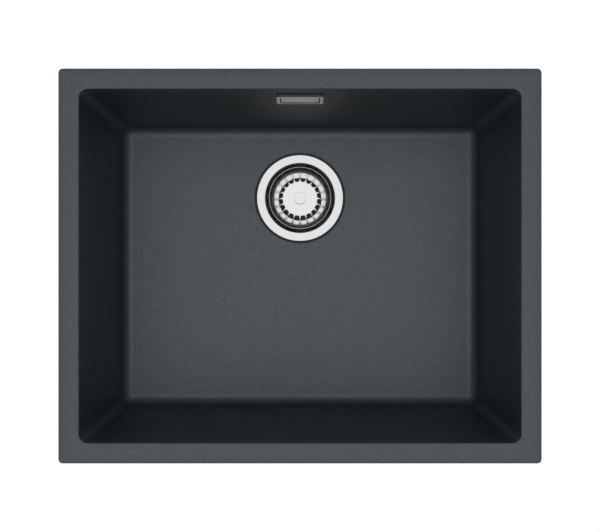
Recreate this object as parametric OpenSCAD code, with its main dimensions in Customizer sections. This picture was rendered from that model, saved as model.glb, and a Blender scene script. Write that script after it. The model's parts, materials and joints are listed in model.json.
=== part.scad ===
// Undermount kitchen sink in granite composite, with a lift-out basket strainer, its waste and an overflow.
// Millimetres. The origin is the middle of the rim's top face: +X right, +Y toward the drain, +Z up.

/* [Bowl] */
// Length of the opening at the rim, along X
opening_length = 500; // [440:10:640]
// Width of the opening at the rim, along Y
opening_width = 400; // [380:10:460]
// Width of the flat rim all round the opening
rim_width = 23.6; // [23:0.2:35]
// Thickness of the rim
rim_thickness = 10; // [8:0.5:14]
// Depth from the rim's top to the floor
bowl_depth = 200; // [170:5:230]
// Thickness of the walls and of the floor
wall = 9; // [8:0.5:10]
// How far the flat floor stands in from the opening, from the draft and the fillet together
floor_inset = 34; // [28:1:40]
// Radius of the fillet between the floor and the walls
floor_fillet = 13.5; // [12:0.5:18]
// Radius of the opening's corners
opening_corner = 10; // [8:1:16]
// Radius of the rim's outer corners
rim_corner = 5; // [4:0.5:12]
// Rounding of the rim's outer top edge
rim_edge_round = 2; // [1:0.5:3]
// Rounding of the edge between the rim and the walls
lip_round = 2.5; // [1.5:0.5:3]

/* [Rim inserts] */
// Outer radius of a threaded insert
insert_radius = 3.5; // [3:0.25:4]
// Radius of an insert's bore, for an M5 bolt
insert_bore = 2.5; // [1.5:0.5:2.5]
// Length of an insert
insert_length = 8.5; // [6:0.5:9]
// Radius of the boss round an insert
insert_boss_radius = 6.5; // [5.5:0.25:6.5]
// How far a boss hangs below the rim
insert_boss_drop = 4; // [3:0.5:8]
// Distance of the inserts from the rim's outer edge
insert_edge = 7; // [6.75:0.25:8]
// Distance between the inserts of a long side
insert_long_spacing = 380; // [300:10:400]
// Distance between the inserts of a short side
insert_short_spacing = 220; // [160:10:280]

/* [Drain] */
// Distance of the drain from the middle of the bowl, toward the back
drain_offset = 88.5; // [60:0.5:90]
// Width of the polished flange outside the cup's rolled mouth
flange_width = 10.4; // [9.5:0.1:11]
// Gap between the flange and the edge of its recess
flange_gap = 2.1; // [1:0.1:3]
// Rounding of the flange's outer edge
flange_edge_round = 1.3; // [1.2:0.1:2]
// Thickness of the seal under the flange
flange_gasket_thickness = 1.5; // [1:0.25:3]
// Inner radius of the cup at its mouth
cup_mouth_radius = 44.6; // [44.2:0.1:45]
// Radius of the roll between the flange and the cup
cup_mouth_round = 1.5; // [1.25:0.25:1.75]
// Inner radius of the cup where its bottom fillet starts
cup_foot_radius = 43.1; // [42.4:0.1:43.5]
// Radius of the cup's bottom fillet
cup_fillet = 12.5; // [10:0.5:13]
// Depth of the cup's bottom below the flange
cup_depth = 31; // [29:0.5:33]
// Thickness of the cup's sheet
cup_sheet = 1.2; // [1:0.1:1.4]
// Radius of the outlet in the cup's bottom
outlet_radius = 23.6; // [22.5:0.1:24]
// Rounding of the outlet's edge
outlet_round = 5.6; // [5:0.1:6]
// Depth of the outlet's neck below the cup's bottom
neck_depth = 7; // [7:0.5:8.5]
// Radius of the hole in the floor round the cup
drain_hole_radius = 46.5; // [46.5:0.1:47]

/* [Basket] */
// Radius to the middle of the basket's rim bead
bead_ring_radius = 39.95; // [39:0.05:40.5]
// Radius of the bead itself
bead_radius = 0.45; // [0.45:0.05:0.9]
// Radius of the basket's wall at its foot
dish_foot_radius = 35.6; // [35:0.1:36.4]
// Depth of the basket's lowest point
dish_depth = 22.4; // [21.6:0.2:23]
// Depth where the windows start on the wall
windows_top_depth = 16.5; // [10:0.5:17]
// Radius of the raised disc in the middle, with the teeth between its windows
disc_radius = 25.4; // [24.5:0.1:25.6]
// How far the windows reach into the disc
tooth_length = 2.3; // [1.5:0.1:4]
// Depth of the raised disc
disc_depth = 12.6; // [11:0.2:14]
// Number of bars, and of windows between them
bar_count = 20; // [12:1:24]
// Width of a bar
bar_width = 2.2; // [1.6:0.1:3]
// Thickness of the basket's sheet
basket_sheet = 0.8; // [0.7:0.1:0.9]
// Radius of the knob
knob_radius = 7.6; // [6:0.1:9]
// Height of the knob above the disc
knob_height = 8; // [7:0.5:11]
// Radius of the stem under the knob
stem_radius = 3; // [2.5:0.25:3.5]
// Radius of the rubber seal that closes the outlet
seal_radius = 26.9; // [26.6:0.1:28]
// Thickness of that seal
seal_thickness = 2.3; // [2:0.1:3]

/* [Waste] */
// Width of the waste's flange, from its chamber's inside outward
waste_flange_width = 14.5; // [13:0.5:16]
// Thickness of that flange
waste_flange_thickness = 4; // [3:0.5:5]
// Thickness of the seal between the waste and the floor
waste_gasket_thickness = 2; // [1.5:0.5:3]
// How far the pad under the floor stands below it
pad_drop = 3; // [2:0.5:4]
// Inner radius of the waste's chamber
chamber_radius = 47.5; // [47.5:0.5:48.5]
// Wall of the waste
waste_wall = 3; // [2.5:0.25:3.5]
// Radius of the male thread on the outlet, G 1 1/2
outlet_thread_radius = 23.9; // [23.9:0.1:26]
// Inner radius of the outlet
outlet_bore = 20; // [17:0.5:20.5]
// Length of the outlet's thread
outlet_length = 32; // [24:1:45]
// Radius of the screw that clamps the cup to the waste
clamp_screw_radius = 3; // [2.5:0.25:3.5]

/* [Overflow] */
// Distance of the overflow's middle below the rim
overflow_drop = 41.5; // [38:0.5:50]
// Width of the overflow's cover
cover_width = 54.4; // [50:0.2:58]
// Height of the overflow's cover
cover_height = 34; // [32:1:38]
// Corner radius of the cover
cover_corner = 1.5; // [1:0.25:3]
// Height of the lips on the cover's two sides, which grip the frame
cover_lip = 16; // [12:1:20]
// How far the cover stands into the bowl
cover_rise = 3; // [2.6:0.2:4.4]
// Thickness of the cover's sheet
cover_sheet = 1.2; // [0.8:0.1:1.4]
// Width of the slot round the cover's flap
flap_slot = 1.3; // [1.1:0.1:2]
// Width of the border outside that slot
flap_border = 4; // [3.6:0.1:4.4]
// Depth of the overflow's housing behind its flange
housing_depth = 9; // [8:0.5:10]
// Wall of the housing
housing_wall = 2; // [1.6:0.2:2.4]
// Thickness of the seal behind the wall
overflow_gasket_thickness = 2; // [1.5:0.5:3]
// Shank radius of the overflow's two screws
overflow_screw_radius = 2; // [1.5:0.25:2.25]

/* [Hose] */
// Radius of the hose over its ribs
hose_crest_radius = 9; // [8.5:0.1:9.2]
// Radius of the hose between its ribs
hose_valley_radius = 7.9; // [7.7:0.1:8.1]
// Radius of the hose's bore
hose_bore = 7; // [6.6:0.1:7.2]
// Distance from one rib to the next
hose_pitch = 4; // [3:0.25:6]
// Radius of the hose's bend under the bowl
hose_bend = 28; // [24:1:30]
// Drop of the waste's side port below the floor
port_drop = 42; // [40:1:44]

/* [Hidden] */

// Clearances between pieces that fit in each other
loose_fit = 0.3;
close_fit = 0.05;
rest_gap = 0.2;
// Length that a cutting tool runs past what it cuts
past = 1;
// Thickness of the flat slabs that hulls are drawn over
slab = 0.01;
// Sides of the faceted corners and steps of their arcs
corner_sides = 32;
arc_steps = 8;
signs = [-1, 1];

// The walls lean out by the draft: a plane through the opening's edge, tangent to the floor's fillet
foot_rise = bowl_depth - floor_fillet;
draft = acos(floor_fillet / norm([floor_inset, foot_rise])) - atan2(foot_rise, floor_inset);
half_length = opening_length / 2;
half_width = opening_width / 2;
rim_half_length = half_length + rim_width;
rim_half_width = half_width + rim_width;

// Depths under the floor, measured at the drain
flange_radius = cup_mouth_radius + cup_mouth_round + flange_width;
recess_radius = flange_radius + flange_gap;
recess_depth = flange_gasket_thickness + cup_sheet;
pad_depth = wall + pad_drop;
waste_flange_radius = chamber_radius + waste_flange_width;
pad_radius = waste_flange_radius + 3;
waste_top = pad_depth + waste_gasket_thickness;
waste_flange_bottom = waste_top + waste_flange_thickness;
cup_fillet_depth = cup_depth - cup_fillet;
cup_floor_radius = cup_foot_radius - cup_fillet;
neck_bottom = cup_depth + neck_depth;
web_depth = 3;
web_width = 3;
web_hub_radius = 7;
web_top = neck_bottom - web_depth;
screw_head_radius = clamp_screw_radius + 2.2;
screw_head_height = 2.2;
chamber_bottom = port_drop + 12;
hopper_depth = chamber_bottom + 9;
outlet_top = hopper_depth + waste_wall + 1;
outlet_bottom = outlet_top + outlet_length;
clamp_insert_radius = clamp_screw_radius + 1.4;
clamp_insert_length = 10;
hub_radius = clamp_insert_radius + 3;
hub_top = neck_bottom + 10;
clamp_screw_length = hub_top + clamp_insert_length - web_top;

// Depths and radii of the basket
trough_radius = disc_radius + 3;
foot_depth = dish_depth - 3.2;
basket_underside = disc_depth + basket_sheet;
seat_out = outlet_radius + outlet_round - seal_radius;
seal_bottom = cup_depth + outlet_round - sqrt(outlet_round * outlet_round - seat_out * seat_out) - rest_gap;
seal_top = seal_bottom - seal_thickness;
seal_plate_thickness = 1;
seal_plate_radius = seal_radius - 6;
stem_nut_height = 1;
knob_cap_height = 3.8;
knob_neck_radius = knob_radius - 3;
knob_round = 0.3;

// The overflow's places are distances from the inner face of the back wall, outward
frame_flange = cover_rise - cover_sheet;
frame_step = 0.8;
frame_length = cover_width - 2 * cover_sheet - loose_fit;
frame_width = cover_height - 2 * cover_sheet - loose_fit;
frame_corner = cover_corner;
frame_overlap = 2;
wall_hole_length = frame_length - 2 * frame_overlap;
wall_hole_width = frame_width - 2 * frame_overlap;
wall_hole_corner = 6;
collar_wall = 2;
collar_length = wall_hole_length - 2 * loose_fit;
collar_width = wall_hole_width - 2 * loose_fit;
collar_depth = wall - 1;
lug_width = 9;
lug_near = wall / 2 - 1;
lug_thickness = 2.5;
lug_far = lug_near + lug_thickness;
overflow_screw_spacing = 30;
overflow_head_radius = overflow_screw_radius + 1.8;
overflow_head_height = 2.2;
gasket_far = wall + overflow_gasket_thickness;
housing_flange = 2.5;
housing_flange_far = gasket_far + housing_flange;
housing_far = housing_flange_far + housing_depth;
housing_length = cover_width - 1;
housing_width = cover_height - 1;
housing_border = 3;
housing_boss_radius = overflow_screw_radius + 2.2;

// The hose hangs from a spigot under the housing, parallel to the wall, and bends to the waste's port
hose_sides = 12;
hose_cuff = 2 * hose_crest_radius;
cuff_radius = hose_crest_radius - 0.6;
// The hose's bore has flat sides, so what goes into it is a little smaller
spigot_radius = hose_bore * cos(180 / hose_sides) - 0.15;
spigot_wall = 1.4;
spigot_bore = spigot_radius - spigot_wall;
spigot_length = 16;
sump_radius = spigot_radius + 1.9;
sump_top = housing_width / 2 - 5;
sump_bottom = housing_width / 2 + 5;
hose_wall_gap = 1.5;
hose_out = wall + hose_wall_gap + hose_crest_radius;
hose_top = sump_bottom + 0.5;

overflow_base = [wall_y(-overflow_drop), -overflow_drop];
wall_up = [sin(draft), cos(draft)];
wall_out = [cos(draft), -sin(draft)];
port_z = -bowl_depth - port_drop;
port_radius = spigot_radius + 4.4;
port_bore = spigot_radius + 1.4;
port_reach = chamber_radius + waste_wall + 7.5;
union_seal_thickness = 1.5;
tail_flange = 2;
hose_end_gap = 0.5;
tail_face = drain_offset + port_reach + union_seal_thickness + tail_flange;
hose_start = wall_point(-hose_top, hose_out);
hose_end_y = tail_face + hose_end_gap;
bend_z = port_z + hose_bend;
bend_y = (hose_start * wall_out - hose_bend + wall_out.y * -bend_z) / wall_out.x;
bend_centre = [bend_y, bend_z];
bend_start = bend_centre + hose_bend * wall_out;
bend_angle = 90 - draft;
down_run = norm(bend_start - hose_start);
bend_run = hose_bend * bend_angle * PI / 180;
level_run = bend_y - hose_end_y;
hose_length = down_run + bend_run + level_run;
rib_count = round((hose_length - 2 * hose_cuff) / hose_pitch);
rib_step = (hose_length - 2 * hose_cuff) / rib_count;
clip_width = 8;
clip_thickness = 0.7;
union_nut_radius = port_radius + 4;
union_nut_length = 11.5;
union_nut_end = 2;

steel = [0.86, 0.87, 0.88];
satin = [0.72, 0.73, 0.74];
granite = [0.33, 0.35, 0.35];
brass = [0.80, 0.62, 0.30];
rubber = [0.12, 0.12, 0.13];
grey_plastic = [0.45, 0.47, 0.49];
dark_plastic = [0.24, 0.25, 0.27];

// Distance of the back wall's inner face from the middle of the bowl, at a height z
function wall_y(z) = half_width + z * tan(draft);

// A point of the Y-Z plane, from the overflow's middle: a distance up the wall and one outward
function wall_point(up, out) = overflow_base + up * wall_up + out * wall_out;

// Points of an arc, from one angle to another
function arc(centre, radius, from, to, steps = arc_steps) =
    [for (i = [0:steps]) centre + radius * [cos(from + (to - from) * i / steps), sin(from + (to - from) * i / steps)]];

function unit(v) = v / norm(v);
function side_of(a, b) = unit([a.y - b.y, b.x - a.x]);

// One corner of a path, moved square to both of its sides by a distance
function moved(path, i, distance) =
    let (before = i == 0 ? side_of(path[0], path[1]) : side_of(path[i - 1], path[i]))
    let (after = i == len(path) - 1 ? before : side_of(path[i], path[i + 1]))
    path[i] + (before + after) * distance / (1 + before * after);

// Outline of a sheet that follows a path and is as thick as the distance, on the path's left
function sheet(path, distance) =
    concat(path, [for (i = [len(path) - 1:-1:0]) moved(path, i, distance)]);

module at_drain() {
    translate([0, drain_offset, -bowl_depth])
        children();
}

// Children are drawn facing the bowl: +Z out of the wall into the bowl, +Y up the wall
module on_back_wall() {
    translate([0, overflow_base.x, overflow_base.y])
        rotate([90 - draft, 0, 0])
            children();
}

// A ring or disc between two depths under the floor
module disc(radius, top, bottom, bore = 0) {
    translate([0, 0, -bottom])
        difference() {
            cylinder(r = radius, h = bottom - top, $fn = 96);
            if (bore > 0)
                translate([0, 0, -past])
                    cylinder(r = bore, h = bottom - top + 2 * past, $fn = 96);
        }
}

module rounded_rectangle(length, width, corner) {
    square([length - 2 * corner, width], center = true);
    square([length, width - 2 * corner], center = true);
    for (sx = signs, sy = signs)
        translate([sx * (length / 2 - corner), sy * (width / 2 - corner)])
            circle(r = corner, $fn = 48);
}

// A rounded plate between two distances from the wall's inner face, outward
module plate(length, width, corner, near, far) {
    translate([0, 0, -far])
        linear_extrude(height = far - near)
            rounded_rectangle(length, width, corner);
}

module four_corners(x, y) {
    for (sx = signs, sy = signs)
        translate([sx * x, sy * y, 0])
            children();
}

// A thin rounded rectangle at a height z, as far out from the opening as the offset says
module level(z, offset, corner) {
    translate([0, 0, z])
        four_corners(half_length + offset - corner, half_width + offset - corner)
            cylinder(r = corner, h = slab, $fn = corner_sides);
}

// The lower part of a ball that the drafted walls are tangent to
module foot(radius) {
    rotate_extrude($fn = corner_sides)
        polygon(concat(arc([0, 0], radius, -90, -draft), [[0, -radius * sin(draft)]]));
}

module drafted_bowl(radius, top_z, top_offset, top_corner) {
    hull() {
        translate([0, 0, -foot_rise])
            four_corners(half_length - floor_inset, half_width - floor_inset)
                foot(radius);
        level(top_z, top_offset, top_corner);
    }
}

module rim_plate() {
    hull()
        four_corners(rim_half_length - rim_corner, rim_half_width - rim_corner)
            rotate_extrude($fn = corner_sides)
                polygon(concat(
                    [[0, 0], [0, -rim_thickness], [rim_corner, -rim_thickness]],
                    arc([rim_corner - rim_edge_round, -rim_edge_round], rim_edge_round, 0, 90, 4)));
}

// The opening's rounded edge, cut as a few frustums that widen to the rim's top
module lip_cut() {
    steps = 3;
    centre_out = lip_round * (1 / cos(draft) - tan(draft));
    points = arc([centre_out, -lip_round], lip_round, 180 - draft, 90, steps);
    for (i = [0:steps - 1])
        hull() {
            level(points[i].y, points[i].x, opening_corner);
            level(points[i + 1].y, points[i + 1].x, opening_corner);
        }
}

module at_inserts() {
    four_corners(insert_long_spacing / 2, rim_half_width - insert_edge)
        children();
    four_corners(rim_half_length - insert_edge, insert_short_spacing / 2)
        children();
}

module bowl() {
    boss_bottom = rim_thickness + insert_boss_drop;
    outer_offset = wall / cos(draft) - rim_thickness / 2 * tan(draft);
    color(granite)
        difference() {
            union() {
                rim_plate();
                drafted_bowl(floor_fillet + wall, -rim_thickness / 2, outer_offset, opening_corner + wall);
                at_drain()
                    disc(pad_radius, wall / 2, pad_depth);
                at_inserts()
                    disc(insert_boss_radius, rim_thickness / 2, boss_bottom);
            }
            drafted_bowl(floor_fillet, past, past * tan(draft), opening_corner);
            lip_cut();
            at_drain() {
                disc(recess_radius, -past, recess_depth);
                disc(drain_hole_radius, 0, pad_depth + past);
            }
            at_inserts()
                disc(insert_radius + close_fit, boss_bottom - insert_length, boss_bottom + past);
            on_back_wall()
                plate(wall_hole_length, wall_hole_width, wall_hole_corner, -past, wall + past);
        }
}

module rim_inserts() {
    top = rim_thickness + insert_boss_drop - insert_length;
    groove = 0.5;
    color(brass)
        at_inserts()
            difference() {
                disc(insert_radius, top, top + insert_length, insert_bore);
                for (depth = [insert_length / 3, insert_length * 2 / 3])
                    difference() {
                        disc(insert_radius + past, top + depth - groove, top + depth + groove);
                        disc(insert_radius - groove, top + depth - 2 * groove, top + depth + 2 * groove);
                    }
            }
}

module flange_gasket() {
    color(rubber)
        at_drain()
            disc(recess_radius - loose_fit, cup_sheet, recess_depth, drain_hole_radius + 0.5);
}

// The cup is one pressed sheet: flange, rolled mouth, wall, fillet, bottom and a turned-down neck
module strainer_cup() {
    mouth_centre = [cup_mouth_radius + cup_mouth_round, -cup_mouth_round];
    outlet_centre = [outlet_radius + outlet_round, -cup_depth - outlet_round];
    path = concat(
        [[flange_radius - flange_edge_round, 0]],
        arc(mouth_centre, cup_mouth_round, 90, 180, 4),
        arc([cup_floor_radius, -cup_fillet_depth], cup_fillet, 0, -90),
        arc(outlet_centre, outlet_round, 90, 180),
        [[outlet_radius, -neck_bottom]]);
    color(steel)
        at_drain() {
            rotate_extrude($fn = 96)
                polygon(sheet(path, cup_sheet));
            rotate_extrude($fn = 96)
                intersection() {
                    translate([flange_radius - flange_edge_round, -flange_edge_round])
                        circle(r = flange_edge_round, $fn = 32);
                    translate([flange_radius - flange_edge_round - slab, -cup_sheet])
                        square([flange_edge_round + 2 * slab, cup_sheet]);
                }
            difference() {
                union() {
                    disc(web_hub_radius, web_top, neck_bottom);
                    for (turn = [0, 90])
                        rotate([0, 0, turn])
                            translate([-outlet_radius - cup_sheet / 2, -web_width / 2, -neck_bottom])
                                cube([2 * outlet_radius + cup_sheet, web_width, web_depth]);
                }
                disc(clamp_screw_radius + close_fit, web_top - past, neck_bottom + past);
            }
        }
}

module clamp_screw() {
    slot_width = 1.2;
    color(steel)
        at_drain() {
            disc(clamp_screw_radius, web_top, web_top + clamp_screw_length);
            difference() {
                disc(screw_head_radius, web_top - screw_head_height, web_top);
                translate([-screw_head_radius, -slot_width / 2, -web_top + screw_head_height / 2])
                    cube([2 * screw_head_radius, slot_width, screw_head_height]);
            }
        }
}

module clamp_insert() {
    color(brass)
        at_drain()
            disc(clamp_insert_radius, hub_top, hub_top + clamp_insert_length, clamp_screw_radius + close_fit);
}

module waste_gasket() {
    color(rubber)
        at_drain()
            disc(waste_flange_radius, pad_depth, waste_top, chamber_radius);
}

// The waste's outside as a solid of revolution, with the outlet's thread as a plain pin
module waste_outside() {
    outer = chamber_radius + waste_wall;
    shoulder = outlet_thread_radius + 2;
    rotate_extrude($fn = 96)
        polygon([
            [0, -waste_top],
            [waste_flange_radius, -waste_top],
            [waste_flange_radius, -waste_flange_bottom],
            [outer, -waste_flange_bottom],
            [outer, -chamber_bottom],
            [shoulder, -hopper_depth - waste_wall],
            [shoulder, -outlet_top],
            [outlet_thread_radius, -outlet_top],
            [outlet_thread_radius, -outlet_bottom],
            [0, -outlet_bottom]
        ]);
}

// The space inside the waste, or the same space grown into its wall
module waste_inside(grow = 0) {
    rotate_extrude($fn = 96)
        polygon([
            [0, -waste_top + past],
            [chamber_radius + grow, -waste_top + past],
            [chamber_radius + grow, -chamber_bottom - grow / 2],
            [outlet_bore + grow, -hopper_depth - grow / 2],
            [outlet_bore + grow, -outlet_bottom - past],
            [0, -outlet_bottom - past]
        ]);
}

module waste_body() {
    rib_top = hub_top + clamp_insert_length / 2;
    rib_bottom = hopper_depth - 1.5;
    rib_width = 3;
    rib_reach = chamber_radius + waste_wall;
    color(grey_plastic)
        at_drain()
            difference() {
                union() {
                    difference() {
                        union() {
                            waste_outside();
                            translate([0, 0, -port_drop])
                                rotate([-90, 0, 0])
                                    cylinder(r = port_radius, h = port_reach, $fn = 64);
                        }
                        waste_inside();
                    }
                    disc(hub_radius, hub_top, rib_bottom);
                    intersection() {
                        for (turn = [45, 135])
                            rotate([0, 0, turn])
                                translate([-rib_reach, -rib_width / 2, -rib_bottom])
                                    cube([2 * rib_reach, rib_width, rib_bottom - rib_top]);
                        waste_inside(waste_wall / 2);
                    }
                }
                translate([0, chamber_radius - 5, -port_drop])
                    rotate([-90, 0, 0])
                        cylinder(r = port_bore, h = port_reach, $fn = 64);
                disc(clamp_insert_radius + close_fit, hub_top - past, hub_top + clamp_insert_length + past);
            }
}

// A point of the basket's wall at a depth, between its bead and its foot
function dish_wall(depth) =
    let (share = (depth - bead_radius) / (foot_depth - bead_radius))
    let (start = bead_ring_radius - basket_sheet / 2)
    [start + share * (dish_foot_radius - start), -depth];

// The basket is pressed from one sheet: a rim with its bead, a raised disc, and bars that join them
module basket_dish() {
    overlap = 1;
    bar_inset = 0.1;
    bend = 1.4;
    rim_path = [
        dish_wall(bead_radius),
        dish_wall(windows_top_depth + overlap)
    ];
    disc_path = [
        [disc_radius - tooth_length, -disc_depth],
        [stem_radius + close_fit, -disc_depth]
    ];
    bar_path = [
        dish_wall(windows_top_depth),
        [dish_foot_radius, -foot_depth],
        [dish_foot_radius - bend, -foot_depth - 1.6],
        [trough_radius, -dish_depth],
        [trough_radius - bend, -dish_depth + 1.2],
        [disc_radius + 1, -disc_depth - bend],
        [disc_radius, -disc_depth],
        [disc_radius - tooth_length - overlap, -disc_depth]
    ];
    color(steel)
        at_drain() {
            rotate_extrude($fn = 96) {
                polygon(sheet(rim_path, basket_sheet));
                polygon(sheet(disc_path, basket_sheet));
                translate([bead_ring_radius, -bead_radius])
                    circle(r = bead_radius, $fn = 32);
            }
            for (i = [0:bar_count - 1])
                rotate([0, 0, i * 360 / bar_count])
                    rotate([90, 0, 0])
                        linear_extrude(height = bar_width, center = true)
                            polygon(sheet(inset_path(bar_path, bar_inset), basket_sheet - 2 * bar_inset));
        }
}

// The same path, moved square to its sides by a distance
function inset_path(path, distance) = [for (i = [0:len(path) - 1]) moved(path, i, distance)];

module basket_knob() {
    cap_bottom = knob_height - knob_cap_height;
    color(steel)
        at_drain()
            translate([0, 0, -disc_depth])
                rotate_extrude($fn = 64)
                    polygon(concat(
                        [[stem_radius, 0], [knob_neck_radius, 0], [knob_neck_radius, cap_bottom]],
                        arc([knob_radius - 1, cap_bottom + 1], 1, -90, 0, 4),
                        arc([knob_radius - knob_round, knob_height - knob_round], knob_round, 0, 90, 4),
                        [[0, knob_height], [0, cap_bottom], [stem_radius, cap_bottom]]));
}

module basket_stem() {
    top = disc_depth - knob_height + knob_cap_height;
    color(steel)
        at_drain() {
            disc(stem_radius, top, seal_bottom + stem_nut_height);
            disc(stem_radius + 2.5, basket_underside, seal_top - seal_plate_thickness, stem_radius);
        }
}

module seal_plate() {
    color(dark_plastic)
        at_drain()
            disc(seal_plate_radius, seal_top - seal_plate_thickness, seal_top, stem_radius + close_fit);
}

module stopper_seal() {
    color(rubber)
        at_drain()
            disc(seal_radius, seal_top, seal_bottom, stem_radius + close_fit);
}

module stem_nut() {
    color(steel)
        at_drain()
            disc(stem_radius + 2, seal_bottom, seal_bottom + stem_nut_height, stem_radius + close_fit);
}

// The cover is a plate with a U-shaped slot round its flap, and a lip on each side that grips the frame
module overflow_cover() {
    flap_length = cover_width - 2 * flap_border;
    flap_height = cover_height - 2 * flap_border;
    flap_corner = 3.5;
    slot_height = flap_height + flap_corner;
    lip_out = cover_width / 2 - cover_sheet / 2;
    color(satin)
        on_back_wall() {
            difference() {
                plate(cover_width, cover_height, cover_corner, -cover_rise, -frame_flange);
                difference() {
                    translate([0, flap_corner / 2, 0])
                        difference() {
                            plate(flap_length, slot_height, flap_corner, -cover_rise - past, 0);
                            plate(flap_length - 2 * flap_slot, slot_height - 2 * flap_slot, flap_corner - flap_slot,
                                -cover_rise - past, 0);
                        }
                    translate([-flap_length / 2, flap_height / 2, 0])
                        cube([flap_length, flap_corner + past, cover_rise + past]);
                }
            }
            for (side = signs)
                translate([side * lip_out, 0, (loose_fit + frame_flange + cover_sheet / 2) / 2])
                    cube([cover_sheet, cover_lip, frame_flange + cover_sheet / 2 - loose_fit], center = true);
        }
}

module overflow_frame() {
    inner_length = collar_length - 2 * collar_wall;
    inner_width = collar_width - 2 * collar_wall;
    inner_corner = wall_hole_corner - collar_wall;
    color(dark_plastic)
        on_back_wall() {
            difference() {
                union() {
                    plate(frame_length, frame_width, frame_corner, -frame_flange, 0);
                    plate(collar_length, collar_width, wall_hole_corner - loose_fit, -slab, collar_depth);
                }
                plate(inner_length, inner_width, inner_corner, -frame_flange - past, collar_depth + past);
                plate(inner_length + 4, inner_width + 3, inner_corner, -frame_flange - past, -frame_step);
            }
            for (side = signs)
                translate([side * overflow_screw_spacing / 2, 0, -lug_far])
                    difference() {
                        translate([-lug_width / 2, -inner_width / 2 - collar_wall / 2, 0])
                            cube([lug_width, inner_width + collar_wall, lug_thickness]);
                        translate([0, 0, -past])
                            cylinder(r = overflow_screw_radius + close_fit, h = lug_thickness + 2 * past, $fn = 32);
                    }
        }
}

module overflow_screws() {
    slot_width = 0.9;
    shank = housing_far - housing_wall - 1 - lug_near;
    color(steel)
        on_back_wall()
            for (side = signs)
                translate([side * overflow_screw_spacing / 2, 0, -lug_near]) {
                    translate([0, 0, -shank])
                        cylinder(r = overflow_screw_radius, h = shank, $fn = 32);
                    difference() {
                        cylinder(r = overflow_head_radius, h = overflow_head_height, $fn = 32);
                        for (turn = [0, 90])
                            rotate([0, 0, turn])
                                translate([-2.4, -slot_width / 2, overflow_head_height / 2])
                                    cube([4.8, slot_width, overflow_head_height]);
                    }
                }
}

module overflow_gasket() {
    color(rubber)
        on_back_wall()
            difference() {
                plate(housing_length + 4, housing_width + 4, wall_hole_corner + 2, wall, gasket_far);
                plate(wall_hole_length, wall_hole_width, wall_hole_corner, wall - past, gasket_far + past);
            }
}

// A shallow box behind the wall, open to the bowl, with a sump and a spigot for the hose below
module overflow_housing() {
    inner_length = housing_length - 2 * housing_border;
    inner_width = housing_width - 2 * housing_border;
    inner_corner = wall_hole_corner - 1;
    cavity_far = housing_far - housing_wall;
    boss_length = cavity_far - lug_far;
    color(grey_plastic)
        on_back_wall() {
            difference() {
                union() {
                    plate(housing_length + 4, housing_width + 4, wall_hole_corner + 2, gasket_far, housing_flange_far);
                    plate(housing_length, housing_width, wall_hole_corner, gasket_far, housing_far);
                    hose_axis_cylinder(sump_radius, sump_top, sump_bottom);
                    hose_axis_cylinder(spigot_radius, sump_top, sump_bottom + spigot_length);
                }
                plate(inner_length, inner_width, inner_corner, gasket_far - past, cavity_far);
                hose_axis_cylinder(spigot_bore, inner_width / 2 - 0.5, sump_bottom + spigot_length + past);
            }
            for (side = signs)
                translate([side * overflow_screw_spacing / 2, 0, -cavity_far - slab])
                    difference() {
                        cylinder(r = housing_boss_radius, h = boss_length + slab, $fn = 48);
                        translate([0, 0, slab + 0.5])
                            cylinder(r = overflow_screw_radius + close_fit, h = boss_length + past, $fn = 32);
                    }
        }
}

// A cylinder on the hose's upper axis, between two distances below the overflow's middle
module hose_axis_cylinder(radius, from, to) {
    translate([0, -from, -hose_out])
        rotate([90, 0, 0])
            cylinder(r = radius, h = to - from, $fn = 64);
}

// Middle of the hose at a distance along it, as [y, z]
function hose_middle(s) =
    s < down_run ? hose_start - s * wall_up
    : s < down_run + bend_run ? bend_centre + hose_bend * bend_ray(s)
    : bend_centre + [down_run + bend_run - s, -hose_bend];

// Direction from the bend's centre to the hose's middle, which is square to the hose
function bend_ray(s) =
    let (share = min(max(s - down_run, 0), bend_run) / bend_run)
    [cos(-draft - share * bend_angle), sin(-draft - share * bend_angle)];

function hose_ring(s, radius) =
    let (middle = hose_middle(s), ray = bend_ray(s))
    [for (i = [0:hose_sides - 1])
        let (a = (i + 0.5) * 360 / hose_sides)
        [radius * cos(a), middle.x + radius * sin(a) * ray.x, middle.y + radius * sin(a) * ray.y]];

// One closed skin: the ribbed outside from end to end, then the bore back again
module overflow_hose() {
    ribs_from = hose_cuff;
    outside = concat(
        [[0, cuff_radius], [hose_cuff - rib_step / 4, cuff_radius]],
        [for (i = [0:rib_count - 1], part = [0.25, 0.75])
            [ribs_from + (i + part) * rib_step, part < 0.5 ? hose_crest_radius : hose_valley_radius]],
        [[hose_length - hose_cuff + rib_step / 4, cuff_radius], [hose_length, cuff_radius]]);
    inside = [for (i = [len(outside) - 1:-1:0]) [outside[i][0], hose_bore]];
    rings = concat(outside, inside);
    points = [for (ring = rings) each hose_ring(ring[0], ring[1])];
    faces = [for (i = [0:len(rings) - 1], j = [0:hose_sides - 1])
        let (below = i * hose_sides)
        let (above = ((i + 1) % len(rings)) * hose_sides)
        let (next = (j + 1) % hose_sides)
        each [
            [below + j, above + next, below + next],
            [below + j, above + j, above + next]
        ]];
    echo("hose: least distance between ribs inside its bend", rib_step * (1 - hose_crest_radius / hose_bend));
    echo("hose: length, ribs, last straight run", hose_length, rib_count, level_run);
    color(dark_plastic)
        polyhedron(points, faces);
}

module clip_ring() {
    ear = 4;
    difference() {
        union() {
            cylinder(r = cuff_radius + close_fit + clip_thickness, h = clip_width, $fn = 64);
            translate([cuff_radius, -ear / 2, 0])
                cube([ear / 2 + clip_thickness, ear, clip_width]);
        }
        translate([0, 0, -past])
            cylinder(r = cuff_radius + close_fit, h = clip_width + 2 * past, $fn = 64);
    }
}

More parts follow.
